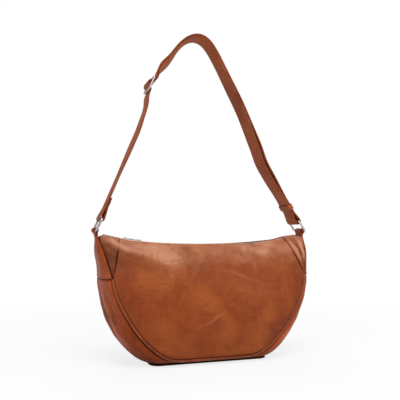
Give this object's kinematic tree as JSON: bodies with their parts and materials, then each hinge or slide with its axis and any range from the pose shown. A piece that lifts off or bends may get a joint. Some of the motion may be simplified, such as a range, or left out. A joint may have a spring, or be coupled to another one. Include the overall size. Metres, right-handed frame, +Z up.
{
  "type": "crossbody bag",
  "caption": "Half-moon leather crossbody bag with a zipped top, welted gusset, wire rings and an adjustable strap that stands in an arch.",
  "frame": {"origin": "centre of the base's underside, on the surface that the bag stands on", "axes": "+X along the bag's length, to the right as the front is seen; -Y out of the front; +Z up"},
  "size_m": [0.3304, 0.1118, 0.4839],
  "materials": {
    "body_leather": "waxed tan cowhide, mottled, soft gloss",
    "gusset_leather": "the same leather, a little darker",
    "welt_leather": "narrow folded welt, paler at its crest",
    "base_leather": "thicker darkened leather",
    "strap_leather": "strap leather, stitched, smooth edges",
    "lining_cloth": "plain woven cotton",
    "board": "stiff flat board",
    "zip_tape": "woven zip tape",
    "zip_metal": "nickel teeth",
    "hardware": "polished nickel wire and castings"
  },
  "bodies": {
    "bag": {"front_panel": "body_leather", "back_panel": "body_leather", "front_left_corner": "body_leather", "front_right_corner": "body_leather", "back_left_corner": "body_leather", "back_right_corner": "body_leather", "lower_gusset": "gusset_leather", "left_upper_gusset": "gusset_leather", "right_upper_gusset": "gusset_leather", "front_welt": "welt_leather", "back_welt": "welt_leather", "base_panel": "base_leather", "base_board": "board", "front_lining": "lining_cloth", "back_lining": "lining_cloth", "gusset_lining": "lining_cloth", "front_zip_tape": "zip_tape", "back_zip_tape": "zip_tape", "front_zip_teeth": "zip_metal", "back_zip_teeth": "zip_metal", "zip_stops": "zip_metal", "left_tab": "strap_leather", "right_tab": "strap_leather"},
    "zip_slider": {"zip_slider": "hardware"},
    "zip_puller": {"zip_puller": "hardware"},
    "left_ring": {"left_ring": "hardware"},
    "right_ring": {"right_ring": "hardware"},
    "strap_ends": {"strap_left_end": "strap_leather", "strap_right_loop": "strap_leather", "strap_bends": "strap_leather"},
    "strap_upper": {"strap_left_run": "strap_leather", "strap_outer_layer": "strap_leather", "strap_inner_layer": "strap_leather", "strap_weave": "strap_leather"},
    "buckle": {"slider_buckle": "hardware"},
    "keeper": {"strap_keeper": "strap_leather"}
  },
  "joints": [
    {"name": "zip_slide", "type": "hinge", "parent": "bag", "child": "zip_slider", "pos_m": [0, 0, 1.196], "axis": [0, -1, 0], "range_deg": [0, 13.19], "deforming": ["front_zip_teeth", "back_zip_teeth"]},
    {"name": "puller_flip", "type": "hinge", "parent": "zip_slider", "child": "zip_puller", "pos_m": [-0.11903, 0, 0.17557], "axis": [0, -1, 0], "range_deg": [0, 170]},
    {"name": "left_ring_swing", "type": "hinge", "parent": "bag", "child": "left_ring", "pos_m": [-0.1615, 0, 0.187], "axis": [0, 1, 0], "range_deg": [-10, 10]},
    {"name": "right_ring_swing", "type": "hinge", "parent": "bag", "child": "right_ring", "pos_m": [0.1615, 0, 0.187], "axis": [0, 1, 0], "range_deg": [-10, 10]},
    {"name": "strap_sway", "type": "hinge", "parent": "left_ring", "child": "strap_ends", "pos_m": [-0.15389, 0, 0.20331], "axis": [0, 1, 0], "range_deg": [-11, 11]},
    {"name": "strap_flop", "type": "hinge", "parent": "strap_ends", "child": "strap_upper", "pos_m": [0, 0, 0.27], "axis": [1, 0, 0], "range_deg": [-110, 110], "deforming": ["strap_bends"]},
    {"name": "buckle_slide", "type": "slide", "parent": "strap_upper", "child": "buckle", "axis": [0.3827, 0, 0.9239], "range_m": [0, 0.01], "deforming": ["strap_weave"]},
    {"name": "keeper_slide", "type": "slide", "parent": "strap_ends", "child": "keeper", "axis": [-0.5225, 0, 0.8526], "range_m": [0, 0.022]}
  ],
  "couplings": [
    {"joint": "right_ring_swing", "follows": "left_ring_swing", "ratio": 1},
    {"joint": "strap_sway", "follows": "left_ring_swing", "ratio": -1.059}
  ]
}
